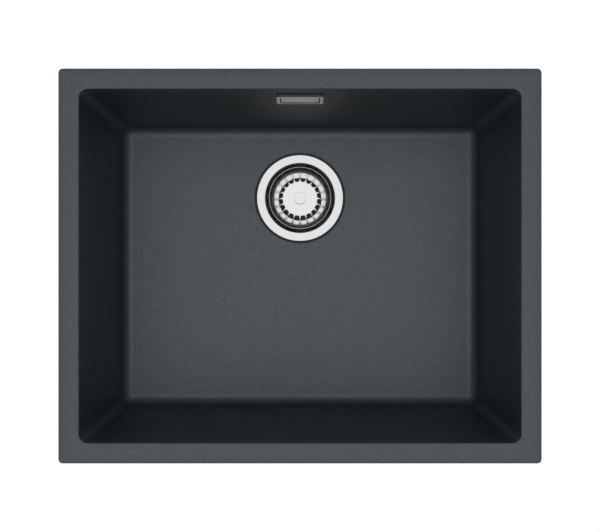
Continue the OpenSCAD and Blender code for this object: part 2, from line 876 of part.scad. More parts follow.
module upper_hose_clip() {
    color(steel)
        on_back_wall()
            translate([0, -hose_top - 3, -hose_out])
                rotate([90, 0, 0])
                    clip_ring();
}

module lower_hose_clip() {
    color(steel)
        translate([0, hose_end_y + 3.5, port_z])
            rotate([-90, 0, 0])
                clip_ring();
}

// The tail is a flange that the union nut clamps, and a spigot inside the hose's lower end
module hose_tail() {
    color(dark_plastic)
        translate([0, tail_face - tail_flange, port_z])
            rotate([-90, 0, 0])
                difference() {
                    union() {
                        cylinder(r = port_radius, h = tail_flange, $fn = 64);
                        cylinder(r = spigot_radius, h = tail_flange + spigot_length, $fn = 64);
                    }
                    translate([0, 0, -past])
                        cylinder(r = spigot_bore, h = spigot_length + tail_flange + 2 * past, $fn = 64);
                }
}

module union_seal() {
    color(rubber)
        translate([0, drain_offset + port_reach, port_z])
            rotate([-90, 0, 0])
                difference() {
                    cylinder(r = port_radius, h = union_seal_thickness, $fn = 64);
                    translate([0, 0, -past])
                        cylinder(r = spigot_radius, h = union_seal_thickness + 2 * past, $fn = 64);
                }
}

module union_nut() {
    lugs = 8;
    color(dark_plastic)
        translate([0, tail_face + union_nut_end - union_nut_length, port_z])
            rotate([-90, 0, 0])
                difference() {
                    union() {
                        cylinder(r = union_nut_radius - 1, h = union_nut_length, $fn = 64);
                        for (i = [0:lugs - 1])
                            rotate([0, 0, i * 360 / lugs])
                                translate([0, -1.5, 0])
                                    cube([union_nut_radius, 3, union_nut_length]);
                    }
                    translate([0, 0, -past])
                        cylinder(r = port_radius + close_fit, h = union_nut_length - union_nut_end + past, $fn = 64);
                    translate([0, 0, -past])
                        cylinder(r = cuff_radius + loose_fit, h = union_nut_length + 2 * past, $fn = 64);
                }
}

bowl();
rim_inserts();
flange_gasket();
strainer_cup();
clamp_screw();
clamp_insert();
waste_body();
waste_gasket();
basket_dish();
basket_knob();
basket_stem();
seal_plate();
stopper_seal();
stem_nut();
overflow_cover();
overflow_frame();
overflow_screws();
overflow_gasket();
overflow_housing();
overflow_hose();
upper_hose_clip();
lower_hose_clip();
hose_tail();
union_seal();
union_nut();
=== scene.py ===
# %% [markdown]
# # An undermount composite sink, dressed over its CAD frame
#
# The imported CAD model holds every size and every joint. This script loads it, keeps the hidden plumbing
# as it is with better finishes, and replaces what the eye reads first, the bowl, the strainer and the
# overflow, with smooth surfaces worked out from the same sizes.

# %% Load the frame
import json
import math

import bmesh
import bpy
import numpy as np
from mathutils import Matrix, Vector


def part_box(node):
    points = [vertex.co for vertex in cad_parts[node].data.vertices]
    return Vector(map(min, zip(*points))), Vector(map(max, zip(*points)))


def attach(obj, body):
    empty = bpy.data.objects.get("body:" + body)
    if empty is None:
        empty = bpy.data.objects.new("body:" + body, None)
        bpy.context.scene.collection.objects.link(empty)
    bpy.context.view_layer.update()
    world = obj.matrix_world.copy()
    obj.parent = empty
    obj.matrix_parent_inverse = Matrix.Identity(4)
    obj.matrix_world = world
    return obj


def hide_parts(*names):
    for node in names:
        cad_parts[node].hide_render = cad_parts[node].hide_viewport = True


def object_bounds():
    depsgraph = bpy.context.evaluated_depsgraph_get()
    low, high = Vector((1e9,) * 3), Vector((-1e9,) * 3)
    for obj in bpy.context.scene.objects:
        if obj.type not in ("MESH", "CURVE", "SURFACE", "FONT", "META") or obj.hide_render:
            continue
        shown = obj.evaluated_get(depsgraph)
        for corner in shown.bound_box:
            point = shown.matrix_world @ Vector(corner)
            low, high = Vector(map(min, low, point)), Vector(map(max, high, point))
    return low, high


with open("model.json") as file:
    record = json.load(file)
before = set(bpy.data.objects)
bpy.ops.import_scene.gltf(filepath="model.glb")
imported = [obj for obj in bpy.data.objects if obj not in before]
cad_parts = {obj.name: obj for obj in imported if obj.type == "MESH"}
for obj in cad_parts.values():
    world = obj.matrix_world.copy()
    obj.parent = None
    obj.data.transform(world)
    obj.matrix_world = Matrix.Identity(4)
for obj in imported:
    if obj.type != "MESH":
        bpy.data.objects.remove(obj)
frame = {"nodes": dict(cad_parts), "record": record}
cad_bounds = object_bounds()
nodes = frame["nodes"]
mm = 0.001
render_levels = 1
print("frame:", len(nodes), "CAD nodes")

# %% [markdown]
# ## The camera
#
# The photograph looks straight down into the bowl from 1.34 m above the rim, with the back wall at the top
# of the picture. The lens follows from the picture's width and the focal length measured in it.

# %% Camera
picture_width = 600
focal_pixels = 1184
sensor_width = 36
camera_height = 1338 * mm
camera_data = bpy.data.cameras.new("view_from_above")
camera_data.sensor_width = sensor_width
camera_data.lens = focal_pixels / picture_width * sensor_width
camera = bpy.data.objects.new("view_from_above", camera_data)
camera.location = (0, 0, camera_height)
bpy.context.scene.collection.objects.link(camera)
bpy.context.scene.camera = camera
print("lens:", round(camera_data.lens, 2), "mm")

# %% [markdown]
# ## Sizes read from the frame
#
# Each box below is a CAD node's lowest and highest corner. The bowl's own sizes are worked out from them,
# so that the smooth surfaces land on the CAD solids. The draft is the angle of a line from the opening's edge
# that just touches the floor's fillet.

# %% Sizes
bowl_low, bowl_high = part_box("bowl")
cup_low, cup_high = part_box("strainer_cup")
gasket_low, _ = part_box("flange_gasket")

rim_half = np.array([bowl_high.x, bowl_high.y])
rim_width = 23.6 * mm
opening_half = rim_half - rim_width
rim_thickness = 10 * mm
wall = 9 * mm
floor_z = cup_high.z
floor_inset = 34 * mm
floor_fillet = 13.5 * mm
flat_half = opening_half - floor_inset
foot_rise = -floor_z - floor_fillet
draft = math.acos(floor_fillet / math.hypot(floor_inset, foot_rise)) - math.atan2(foot_rise, floor_inset)
opening_corner = 10 * mm
rim_corner = 5 * mm
drain = np.array([(cup_low.x + cup_high.x) / 2, (cup_low.y + cup_high.y) / 2])
flange_radius = (cup_high.x - cup_low.x) / 2
print("opening:", np.round(2 * opening_half / mm), "mm, draft", round(math.degrees(draft), 2), "degrees")

# %% [markdown]
# ## Meshes from arrays
#
# A surface here is a grid of points, rows by columns, worked out as whole arrays. `skin` turns the grid into
# quads: columns always close on themselves, rows close only when the piece is a ring. Rows that shrink to a
# point are welded, and then the faces are turned outwards.

# %% Mesh helpers
def make_piece(name, points, faces, body, weld=1e-6, smooth_angle=40, shell=True):
    """A mesh object from arrays of points and faces, welded and riding on a body. A closed shell is turned
    to face outwards; an open sheet keeps the side its grid was wound for."""
    mesh = bpy.data.meshes.new(name)
    mesh.from_pydata(points, [], faces)
    work = bmesh.new()
    work.from_mesh(mesh)
    bmesh.ops.remove_doubles(work, verts=work.verts, dist=weld)
    bmesh.ops.dissolve_degenerate(work, edges=work.edges, dist=weld / 2)
    if shell:
        bmesh.ops.recalc_face_normals(work, faces=work.faces)
    work.to_mesh(mesh)
    work.free()
    mesh.shade_smooth()
    mesh.set_sharp_from_angle(angle=math.radians(smooth_angle))
    piece = bpy.data.objects.new(name, mesh)
    bpy.context.scene.collection.objects.link(piece)
    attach(piece, body)
    return piece


def skin(grid, closed):
    """Points and quads of a grid (rows, columns, 3). Columns wrap round; rows do when closed is true."""
    rows, columns, _ = grid.shape
    i = np.arange(rows if closed else rows - 1)[:, None]
    j = np.arange(columns)[None, :]
    below, above = i * columns, (i + 1) % rows * columns
    nxt = (j + 1) % columns
    quads = np.stack([below + j, below + nxt, above + nxt, above + j], axis=-1)
    return grid.reshape(-1, 3), quads.reshape(-1, 4)


def join(parts):
    """Several (points, faces) pairs as one pair of lists."""
    points, faces, start = [], [], 0
    for part_points, part_faces in parts:
        points.append(np.asarray(part_points, float))
        faces += [[int(v) + start for v in face] for face in part_faces]
        start += len(part_points)
    return np.vstack(points), faces


def end_faces(count):
    """The two flat ends of a tube made of two rings with this many points each."""
    return [list(range(count))[::-1], list(range(count, 2 * count))]


def face_values(piece, kind):
    """Each face's "center" or "normal", as an array with a row (x, y, z) for each face."""
    values = np.empty(3 * len(piece.data.polygons))
    piece.data.polygons.foreach_get(kind, values)
    return values.reshape(-1, 3)


print("a grid of 3 rows and 4 columns has", len(skin(np.zeros((3, 4, 3)), closed=False)[1]), "quads")

# %% [markdown]
# ### Outlines and sections
#
# Every piece starts as a flat drawing: an arc, a rounded rectangle, or the section of a sheet. A section that
# is turned round the drain's axis gives a round piece.

# %% Outline helpers
def arc(centre, radius, start, stop, steps=8):
    """Points of an arc: centre plus radius times (cos, sin) of even angles from start to stop, in degrees."""
    angle = np.radians(np.linspace(start, stop, steps + 1))
    return np.column_stack([centre[0] + radius * np.cos(angle), centre[1] + radius * np.sin(angle)])


def corner_arcs(half, corner, steps):
    """A rounded rectangle's four arcs, anticlockwise. The centre of each lies its radius inside two sides."""
    arcs = []
    for turn, (sx, sy) in enumerate([(1, 1), (-1, 1), (-1, -1), (1, -1)]):
        middle = np.array([sx, sy]) * (np.asarray(half) - corner)
        arcs.append(arc(middle, corner, turn * 90, turn * 90 + 90, steps))
    return arcs


def revolve(profile, segments=192, centre=drain, closed=True):
    """A profile of (radius, height) turned round a vertical axis through centre."""
    angle = np.linspace(0, 2 * np.pi, segments, endpoint=False)
    radius, height = np.asarray(profile).T
    grid = np.stack([
        centre[0] + radius[:, None] * np.cos(angle),
        centre[1] + radius[:, None] * np.sin(angle),
        np.broadcast_to(height[:, None], (len(radius), segments)),
    ], axis=-1)
    return skin(grid, closed)


def thicken(path, thickness):
    """A closed outline round a sheet: the path, then the path moved square to itself, backwards. At a bend
    the move is the sum of the two square directions over one plus their product."""
    path = np.asarray(path, float)
    step = np.diff(path, axis=0)
    side = np.column_stack([-step[:, 1], step[:, 0]]) / np.linalg.norm(step, axis=1)[:, None]
    before = np.vstack([side[:1], side])
    after = np.vstack([side, side[-1:]])
    share = 1 + (before * after).sum(axis=1, keepdims=True)
    return np.vstack([path, (path + (before + after) * thickness / share)[::-1]])


def smooth_path(corners, rounds, steps=5):
    """A path through corners, each one rounded by a parabola that starts and ends a set distance from it."""
    corners = np.asarray(corners, float)
    path = [corners[0]]
    for k in range(1, len(corners) - 1):
        back, ahead = corners[k - 1] - corners[k], corners[k + 1] - corners[k]
        a = corners[k] + back / np.linalg.norm(back) * rounds[k - 1]
        b = corners[k] + ahead / np.linalg.norm(ahead) * rounds[k - 1]
        t = np.linspace(0, 1, steps + 1)[:, None]
        path += list((1 - t) ** 2 * a + 2 * t * (1 - t) * corners[k] + t ** 2 * b)
    return np.array(path + [corners[-1]])


print("a quarter circle in 8 steps has", len(arc((0, 0), 1, 0, 90)), "points")

# %% [markdown]
# ## The bowl's surface
#
# The real bowl is cast in one piece, with drafted walls, a filleted floor and a flat rim. A stack of rounded
# rectangles follows it from the drain's hole up the inside, over the rim and back down the outside. Each loop
# has the same number of points, so neighbouring loops join with quads. Round the drain the loops are circles,
# with their points in the directions of the rectangles' points, so that the quads between them stay even.

# %% Loops
side_steps = 14
corner_steps = 10
sharpest = 0.05 * mm
aiming_corner = 60 * mm


def level_loop(flat, z):
    """Points (x, y) as a loop at height z."""
    return np.column_stack([flat, np.full(len(flat), z)])


def rounded_loop(half, corner, z):
    """A rounded rectangle at height z: four arcs of the corner's radius, and straight runs of even steps."""
    arcs = corner_arcs(half, corner, corner_steps)
    share = np.linspace(0, 1, side_steps + 1)[1:-1, None]
    loop = []
    for k, span in enumerate(arcs):
        ahead = arcs[(k + 1) % 4][0]
        loop += [span, span[-1] + (ahead - span[-1]) * share]
    return level_loop(np.vstack(loop), z)


spread = rounded_loop(flat_half, aiming_corner, 0)[:, :2] - drain
toward = spread / np.linalg.norm(spread, axis=1)[:, None]


def drain_loop(radius, z):
    """A circle round the drain, its points in the directions of the rectangles' points."""
    return level_loop(drain + radius * toward, z)


def between(a, b, shares):
    """Loops part of the way from loop a to loop b."""
    return [a + (b - a) * share for share in shares]


print("each loop has", len(toward), "points")

# %% [markdown]
# ### Walls, fillets and rim
#
# The inside wall ends below in the floor's fillet and above in a rounded lip. The rim's face falls a little
# toward its outer edge. The outside has its own fillet, larger by the wall. Extra loops close to each bend
# keep the flat faces looking flat under smooth shading.

# %% Walls, fillets and rim
lip_round = 1.8 * mm
lip_out = lip_round * (1 / math.cos(draft) - math.tan(draft))
edge_round = 2 * mm
crown_width = 10 * mm
crown_drop = 0.7 * mm
rim_chamfer = 1 * mm
rim_margin = 0.6 * mm
outer_offset = wall / math.cos(draft)


def fillet_loops(radius, steps):
    """The floor's fillet: at an angle below level, a loop grows by radius times cos and sinks by its sin."""
    loops = []
    for angle in np.radians(np.linspace(90, math.degrees(draft), steps + 1)):
        out = max(radius * math.cos(angle), sharpest)
        loops.append(rounded_loop(flat_half + out, out, floor_z + floor_fillet - radius * math.sin(angle)))
    return loops


def lip_loop(angle):
    """The lip between wall and rim: the opening's loop, moved out by the lip's round times the cos."""
    out = lip_out + lip_round * math.cos(angle)
    return rounded_loop(opening_half + out, opening_corner + out, -lip_round + lip_round * math.sin(angle))


def rim_loop(inset, z):
    """The rim's outline moved in by the inset: its corner's radius shrinks as much, down to a sharp one."""
    return rounded_loop(rim_half - inset, max(rim_corner - inset, sharpest), z)


def outer_loop(depth, out):
    """The outside wall at a depth under the rim, moved out: the opening's loop, moved out by the wall and in
    by the height below the rim's face times the draft's tan."""
    z = -rim_thickness - depth
    half = opening_half + z * math.tan(draft) + outer_offset + out
    return rounded_loop(half, opening_corner + wall + out, z)


inner_fillet = fillet_loops(floor_fillet, 14)
outer_fillet = fillet_loops(floor_fillet + wall, 12)
lip = [lip_loop(angle) for angle in np.radians(np.linspace(180 - math.degrees(draft), 90, 9))]
crown = [rim_loop(edge_round + crown_width * (1 - share), -crown_drop * share ** 2)
         for share in np.linspace(0, 1, 7)[:-1]]
rim_edge = [rim_loop(edge_round * (1 - math.cos(angle)), -crown_drop - edge_round * (1 - math.sin(angle)))
            for angle in np.radians(np.linspace(84, 0, 7))]
rim_foot = [rim_loop(0, -rim_thickness + rim_chamfer), rim_loop(rim_chamfer, -rim_thickness),
            rim_loop(rim_chamfer + rim_margin, -rim_thickness)]
root = np.array([(0, 2.5), (0.2, 1.7), (0.8, 0.7), (2, 0.1), (3.4, 0)]) * mm
wall_root = [outer_loop(depth, out) for depth, out in root]
print("fillets:", len(inner_fillet), "loops inside and", len(outer_fillet), "outside")

# %% [markdown]
# ### Recess, pad and the whole grid
#
# The floor has a recess that the strainer's flange sinks into, and a pad underneath that the waste seals
# against, each a short profile of (radius, height) round the drain. One stack of loops then goes all round
# the bowl's section and closes on itself.

# %% Bowl's grid
recess_radius = flange_radius + 2.1 * mm
recess_round = 0.8 * mm
recess_margin = 1.2 * mm
recess_z = gasket_low.z
hole_radius = 46.5 * mm
hole_margin = 0.5 * mm
edge_margin = 0.4 * mm
floor_margin = 0.6 * mm
pad_radius = 65 * mm
pad_round = 0.8 * mm
pad_margin = 4 * mm
pad_z = bowl_low.z
underside_z = floor_z - wall

recess_edge = arc((recess_radius + recess_round, floor_z - recess_round), recess_round, 180, 90, 5)
recess = [drain_loop(*place) for place in [
    (hole_radius, recess_z), (hole_radius + hole_margin, recess_z),
    (recess_radius - edge_margin, recess_z), (recess_radius, recess_z), *recess_edge]]
pad = [drain_loop(*place) for place in [
    (pad_radius + pad_round, underside_z), (pad_radius, underside_z - pad_round),
    (pad_radius, pad_z + edge_margin), (pad_radius - edge_margin, pad_z),
    (hole_radius + hole_margin, pad_z), (hole_radius, pad_z)]]
floor_start = drain_loop(recess_radius + recess_margin, floor_z)
floor_end = rounded_loop(flat_half - floor_margin, sharpest, floor_z)
underside_end = drain_loop(pad_radius + pad_margin, underside_z)

loops = (
    recess
    + [floor_start] + between(floor_start, floor_end, [0.25, 0.5, 0.75]) + [floor_end]
    + inner_fillet
    + between(inner_fillet[-1], lip[0], [0.01, 0.2, 0.4, 0.6, 0.8, 0.99])
    + lip
    + between(lip[-1], crown[0], [0.06, 0.5])
    + crown + rim_edge + rim_foot + wall_root
    + between(wall_root[-1], outer_fillet[-1], [0.01, 0.25, 0.5, 0.75, 0.99])
    + outer_fillet[::-1]
    + between(outer_fillet[0], underside_end, [0.02, 0.4, 0.75]) + [underside_end]
    + pad
)
bowl_grid = np.stack(loops)
bowl_points, bowl_faces = skin(bowl_grid, closed=True)
print("bowl:", bowl_grid.shape[0], "loops of", bowl_grid.shape[1], "points")

# %% [markdown]
# ## Shapes on the back wall
#
# The overflow sits on the drafted back wall, so its shapes are drawn in the wall's own plane, as points
# across and up it, and pushed square out of it. A Boolean adds closed shapes to a piece or takes them out,
# and its result is kept as a plain mesh.

# %% Wall plane and Boolean
overflow_middle_z = -41.5 * mm
wall_y = opening_half[1] + overflow_middle_z * math.tan(draft)


def on_wall(across, up, out):
    """Points on the back wall: across, up the wall and square out of it into the bowl, from the overflow's
    middle. The wall leans back by the draft, so up is mostly z and a little y, and out is mostly minus y."""
    across, up, out = np.broadcast_arrays(across, up, out)
    return np.stack([
        across,
        wall_y + up * math.sin(draft) - out * math.cos(draft),
        overflow_middle_z + up * math.cos(draft) + out * math.sin(draft),
    ], axis=-1)


def wall_outline(half, corner, steps=10):
    """A rounded rectangle in the wall's own plane, as (across, up) points."""
    return np.vstack(corner_arcs(half, corner, steps))


def prism(outline, near, far):
    """A closed prism on the wall's plane between two distances out of it."""
    count = len(outline)
    across, up = outline.T
    points = np.vstack([on_wall(across, up, near), on_wall(across, up, far)])
    nxt = (np.arange(count) + 1) % count
    sides = [[k, int(nxt[k]), int(nxt[k]) + count, k + count] for k in range(count)]
    return points, sides + end_faces(count)


def pillar(x, y, radius, low, high, segments=48):
    """A closed upright cylinder with flat ends."""
    profile = [(0, low), (radius, low), (radius, high), (0, high)]
    return revolve(profile, segments, (x, y), closed=False)


def boolean(piece, cutter_parts, operation="DIFFERENCE"):
    """Takes one set of closed shapes out of a piece, or adds it, and keeps the result as its mesh."""
    points, faces = join(cutter_parts)
    cutter = make_piece("cutter", points, faces, "sink")
    step = piece.modifiers.new("cut", "BOOLEAN")
    step.operation = operation
    step.solver = "EXACT"
    step.object = cutter
    done = piece.evaluated_get(bpy.context.evaluated_depsgraph_get())
    mesh = bpy.data.meshes.new_from_object(done)
    piece.modifiers.clear()
    old, piece.data = piece.data, mesh
    bpy.data.meshes.remove(old)
    spent = cutter.data
    bpy.data.objects.remove(cutter)
    bpy.data.meshes.remove(spent)


print("the overflow's middle is", round(wall_y / mm, 1), "mm behind the bowl's")

# %% [markdown]
# ## The overflow's slot and the insert holes
#
# The slot goes square through the back wall. Under the rim, two bosses on each side of the bowl have a blind
# hole for a threaded insert. The bosses are added first, and one cut then takes all the holes out.

# %% Bowl with its openings
slot_half = np.array([23.85, 13.65]) * mm
slot_corner = 6 * mm
slot_reach = 10 * mm
insert_low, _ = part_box("rim_inserts")
insert_radius = 3.55 * mm
insert_edge_distance = 7 * mm
side_x, end_y = 190 * mm, 110 * mm
end_x, side_y = rim_half - insert_edge_distance
boss_radius = 6.5 * mm
boss_z = insert_low.z
boss_overlap = 2 * mm
hole_height = 8.6 * mm

insert_places = [(sx * side_x, sy * side_y) for sx in (-1, 1) for sy in (-1, 1)]
insert_places += [(sx * end_x, sy * end_y) for sx in (-1, 1) for sy in (-1, 1)]
bosses = [pillar(x, y, boss_radius, boss_z, -rim_thickness + boss_overlap) for x, y in insert_places]
holes = [pillar(x, y, insert_radius, boss_z - boss_overlap, boss_z + hole_height) for x, y in insert_places]
overflow_slot = prism(wall_outline(slot_half, slot_corner), slot_reach, -wall - slot_reach)

bowl = make_piece("bowl_smooth", bowl_points, bowl_faces, "sink")
boolean(bowl, bosses, "UNION")
boolean(bowl, [overflow_slot] + holes)
bowl.data.shade_smooth()
bowl.data.set_sharp_from_angle(angle=math.radians(35))
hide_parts("bowl")
print("bowl mesh:", len(bowl.data.polygons), "faces")

# %% [markdown]
# ## Finishes
#
# Every finish is worked out by nodes on Object coordinates, in metres, so the grain has its real size and
# stays on the piece. The helpers add a node and fill its inputs in one call.

# %% Material helpers
noise_low, noise_high = 0.3, 0.7


def connect(node, inputs):
    """Fills a node's inputs by name or number: a value is written, and another node's output is linked."""
    for key, value in inputs.items():
        if isinstance(value, bpy.types.NodeSocket):
            node.id_data.links.new(value, node.inputs[key])
        else:
            node.inputs[key].default_value = value


def node_adder(tree):
    """A function that adds a node to the tree, with its settings and then its inputs."""
    def add(kind, inputs=None, **settings):
        node = tree.nodes.new(kind)
        for key, value in settings.items():
            setattr(node, key, value)
        connect(node, inputs or {})
        return node

    return add


def new_finish(name):
    """A material, its Principled shader, and a function that adds nodes to it."""
    finish = bpy.data.materials.new(name)
    finish.use_nodes = True
    return finish, finish.node_tree.nodes["Principled BSDF"], node_adder(finish.node_tree)


def ramp(add, factor, stops, interpolation="LINEAR"):
    """A colour ramp from a list of (place, colour) stops."""
    node = add("ShaderNodeValToRGB", {"Fac": factor})
    node.color_ramp.interpolation = interpolation
    elements = node.color_ramp.elements
    while len(elements) < len(stops):
        elements.new(0.5)
    for element, (place, colour) in zip(elements, stops):
        element.position = place
        element.color = (*colour, 1)
    return node.outputs["Color"]


def seen_rays(add):
    """The Light Path node, and an output that is one for the rays of the camera, of mirrors and of glass and
    nought for those that gather light. It is the largest of the three."""
    path = add("ShaderNodeLightPath")
    seen = add("ShaderNodeMath", {0: path.outputs["Is Camera Ray"], 1: path.outputs["Is Glossy Ray"]},
               operation="MAXIMUM")
    seen_too = add("ShaderNodeMath", {0: seen.outputs["Value"], 1: path.outputs["Is Transmission Ray"]},
                   operation="MAXIMUM")
    return path, seen_too.outputs["Value"]


def dress(piece, finish):
    """Puts one finish on a piece."""
    piece.data.materials.clear()
    piece.data.materials.append(finish)


def second_finish(piece, finish, chosen):
    """Puts a second finish on the chosen faces of a piece."""
    piece.data.materials.append(finish)
    piece.data.polygons.foreach_set("material_index", chosen.astype(np.int32))


print("a noise's values lie mostly between", noise_low, "and", noise_high)

# %% [markdown]
# ### Granite composite
#
# The bowl is quartz grain in resin: dark grey with a soft sheen and fine lighter specks. Voronoi cells give
# grains of about a millimetre, each with its own shade, and slow noise clouds them. The bump is shallow.

# %% Granite composite
grains_per_metre = 1050.0
clouds_per_metre = 22.0
grain_depth = 0.15 * mm
grain_shades = [
    (0.0, (0.009, 0.014, 0.018)),
    (0.55, (0.016, 0.022, 0.026)),
    (0.88, (0.022, 0.029, 0.034)),
    (1.0, (0.058, 0.067, 0.073)),
]
cloud_shades = [(noise_low, (0.94, 0.94, 0.94)), (noise_high, (1.0, 1.0, 1.0))]

granite, shader, add = new_finish("granite_composite")
place = add("ShaderNodeTexCoord").outputs["Object"]
grains = add("ShaderNodeTexVoronoi", {"Vector": place, "Scale": grains_per_metre}, feature="F1")
grain_value = add("ShaderNodeSeparateColor", {"Color": grains.outputs["Color"]}).outputs["Red"]
grain_colour = ramp(add, grain_value, grain_shades)
cloud = add("ShaderNodeTexNoise", {"Vector": place, "Scale": clouds_per_metre, "Detail": 3.0})
cloud_colour = ramp(add, cloud.outputs["Fac"], cloud_shades)
mixed = add("ShaderNodeMix", {"Factor": 1.0, "A": grain_colour, "B": cloud_colour},
            data_type="RGBA", blend_type="MULTIPLY")
bump = add("ShaderNodeBump", {"Height": grain_value, "Strength": 0.12, "Distance": grain_depth})
connect(shader, {"Base Color": mixed.outputs["Result"], "Normal": bump.outputs["Normal"],
                 "Roughness": 0.5, "Specular IOR Level": 1.0, "IOR": 1.6})
dress(bowl, granite)
print("grains are about", round(1000 / grains_per_metre, 2), "mm across")

# %% [markdown]
# ### Steel, brass, rubber and plastic
#
# The strainer is polished steel: nearly a mirror, with faint turning marks round its axis. The overflow's
# cover is satin steel with straight brush marks. The plumbing below is moulded polypropylene, with the soft
# sheen of its mould.

# %% Metals and plastics
brush_across, brush_along = 2500.0, 25.0


def metal(made, noise, colour, roughness, wander, strength, depth):
    """What all metals share: the noise moves the roughness by a share up or down and raises a faint bump."""
    finish, shader, add = made
    spread = add("ShaderNodeMapRange", {
        "Value": noise.outputs["Fac"], "From Min": noise_low, "From Max": noise_high,
        "To Min": roughness * (1 - wander), "To Max": roughness * (1 + wander)})
    bump = add("ShaderNodeBump", {"Height": noise.outputs["Fac"], "Strength": strength, "Distance": depth})
    connect(shader, {"Roughness": spread.outputs["Result"], "Normal": bump.outputs["Normal"],
                     "Base Color": (*colour, 1), "Metallic": 1.0})
    return finish


def turned_metal(name, colour, roughness, marks=900.0, depth=0.02 * mm):
    """Metal with fine rings round the drain's axis: noise stretched along the distance from that axis."""
    made = new_finish(name)
    add = made[-1]
    place = add("ShaderNodeTexCoord").outputs["Object"]
    centred = add("ShaderNodeMapping", {"Vector": place, "Location": (-drain[0], -drain[1], 0.0)})
    parts = add("ShaderNodeSeparateXYZ", {"Vector": centred.outputs["Vector"]})
    flat = add("ShaderNodeCombineXYZ", {"X": parts.outputs["X"], "Y": parts.outputs["Y"]})
    radius = add("ShaderNodeVectorMath", {0: flat.outputs["Vector"]}, operation="LENGTH")
    rings = add("ShaderNodeCombineXYZ", {"X": radius.outputs["Value"], "Z": parts.outputs["Z"]})
    noise = add("ShaderNodeTexNoise", {"Vector": rings.outputs["Vector"], "Scale": marks, "Detail": 4.0})
    return metal(made, noise, colour, roughness, wander=0.3, strength=0.05, depth=depth)


def brushed_metal(name, colour, roughness, direction, depth=0.03 * mm):
    """Metal with fine straight brush marks: noise stretched a hundredfold along one axis."""
    made = new_finish(name)
    add = made[-1]
    place = add("ShaderNodeTexCoord").outputs["Object"]
    scale = [brush_along if axis == direction else brush_across for axis in "XYZ"]
    stretched = add("ShaderNodeMapping", {"Vector": place, "Scale": scale})
    noise = add("ShaderNodeTexNoise", {"Vector": stretched.outputs["Vector"], "Scale": 1.0, "Detail": 3.0})
    return metal(made, noise, colour, roughness, wander=0.2, strength=0.08, depth=depth)


def moulded(name, dark, light, roughness, grain=1800.0, depth=0.04 * mm):
    """Plastic or rubber: two close shades in slow clouds, with a fine spark-eroded grain as its bump."""
    finish, shader, add = new_finish(name)
    place = add("ShaderNodeTexCoord").outputs["Object"]
    cloud = add("ShaderNodeTexNoise", {"Vector": place, "Scale": 40.0, "Detail": 4.0})
    colour = ramp(add, cloud.outputs["Fac"], [(noise_low, dark), (noise_high, light)])
    fine = add("ShaderNodeTexNoise", {"Vector": place, "Scale": grain, "Detail": 2.0})
    bump = add("ShaderNodeBump", {"Height": fine.outputs["Fac"], "Strength": 0.25, "Distance": depth})
    connect(shader, {"Base Color": colour, "Normal": bump.outputs["Normal"], "Roughness": roughness})
    return finish


polished = turned_metal("polished_steel", (0.78, 0.79, 0.79), 0.08)
pressed = turned_metal("pressed_steel", (0.78, 0.79, 0.79), 0.22)
# Painted shade: a far darker steel colour for the basket's wall above the windows, where it mirrors dark.
shaded_wall_steel = turned_metal("painted_shade_wall_steel", (0.12, 0.122, 0.125), 0.30)
satin = brushed_metal("satin_steel", (0.66, 0.67, 0.68), 0.32, "X")
# Painted shade: a far darker steel colour for the cover's cut edges, where the slot lies in shade.
shaded_edge_steel = brushed_metal("painted_shade_edge_steel", (0.16, 0.162, 0.165), 0.5, "X")
brass = turned_metal("turned_brass", (0.75, 0.55, 0.25), 0.28, 600.0, 0.03 * mm)
rubber = moulded("seal_rubber", (0.012, 0.012, 0.013), (0.020, 0.020, 0.022), 0.65, 2500.0, 0.05 * mm)
grey_plastic = moulded("grey_polypropylene", (0.19, 0.20, 0.215), (0.22, 0.235, 0.25), 0.42)
dark_plastic = moulded("dark_polypropylene", (0.030, 0.032, 0.035), (0.042, 0.044, 0.048), 0.40)
finish_of_slot = {
    "granite_composite": granite, "polished_steel": polished, "satin_steel": satin, "brass": brass,
    "seal_rubber": rubber, "grey_plastic": grey_plastic, "dark_plastic": dark_plastic,
}
for entry in frame["record"]["subparts"]:
    dress(nodes[entry["node"]], finish_of_slot[entry["material_slot"]])
print(len(finish_of_slot), "slots dressed on", len(nodes), "nodes")

# %% [markdown]
# ## The strainer's cup
#
# The cup is one pressed sheet. Its section is a path of straight runs and arcs, thickened by the sheet and
# turned round the drain's axis. The flange's outer edge rolls down into its recess in the floor. A hub on
# four spokes crosses the outlet and takes the clamp screw.

# %% Strainer cup
sheet_thickness = 1.2 * mm
cup_depth = 31 * mm
cup_mouth_radius = 44.6 * mm
cup_mouth_round = 1.5 * mm
mouth_margin = 0.3 * mm
cup_fillet = 12.5 * mm
cup_foot_radius = 43.1 * mm
outlet_radius = 23.6 * mm
outlet_round = 5.6 * mm
flange_edge = 1.3 * mm
flange_margin = 1 * mm
neck_bottom = cup_low.z - floor_z
web_low, web_high = cup_low.z, cup_low.z + 3 * mm
hub_bore, hub_radius, hub_chamfer = 3.05 * mm, 7 * mm, 0.4 * mm
spoke_start, spoke_overlap, spoke_width = 5 * mm, 0.6 * mm, 3 * mm


def strainer_cup_profile():
    """The upper face from the flange's edge to the outlet's neck, then the lower face back again."""
    upper = np.vstack([
        [(flange_radius - flange_edge - flange_margin, 0)],
        [(cup_mouth_radius + cup_mouth_round + mouth_margin, 0)],
        arc((cup_mouth_radius + cup_mouth_round, -cup_mouth_round), cup_mouth_round, 90, 176, 8),
        arc((cup_foot_radius - cup_fillet, -cup_depth + cup_fillet), cup_fillet, 3, -90, 24),
        arc((outlet_radius + outlet_round, -cup_depth - outlet_round), outlet_round, 90, 180, 16),
        [(outlet_radius, neck_bottom)],
    ])
    outline = thicken(upper, sheet_thickness)
    edge = arc((flange_radius - flange_edge, -flange_edge), flange_edge, 5, 90, 8)
    return np.vstack([edge, outline, [(flange_radius - flange_edge, -sheet_thickness)]]) + [0, floor_z]


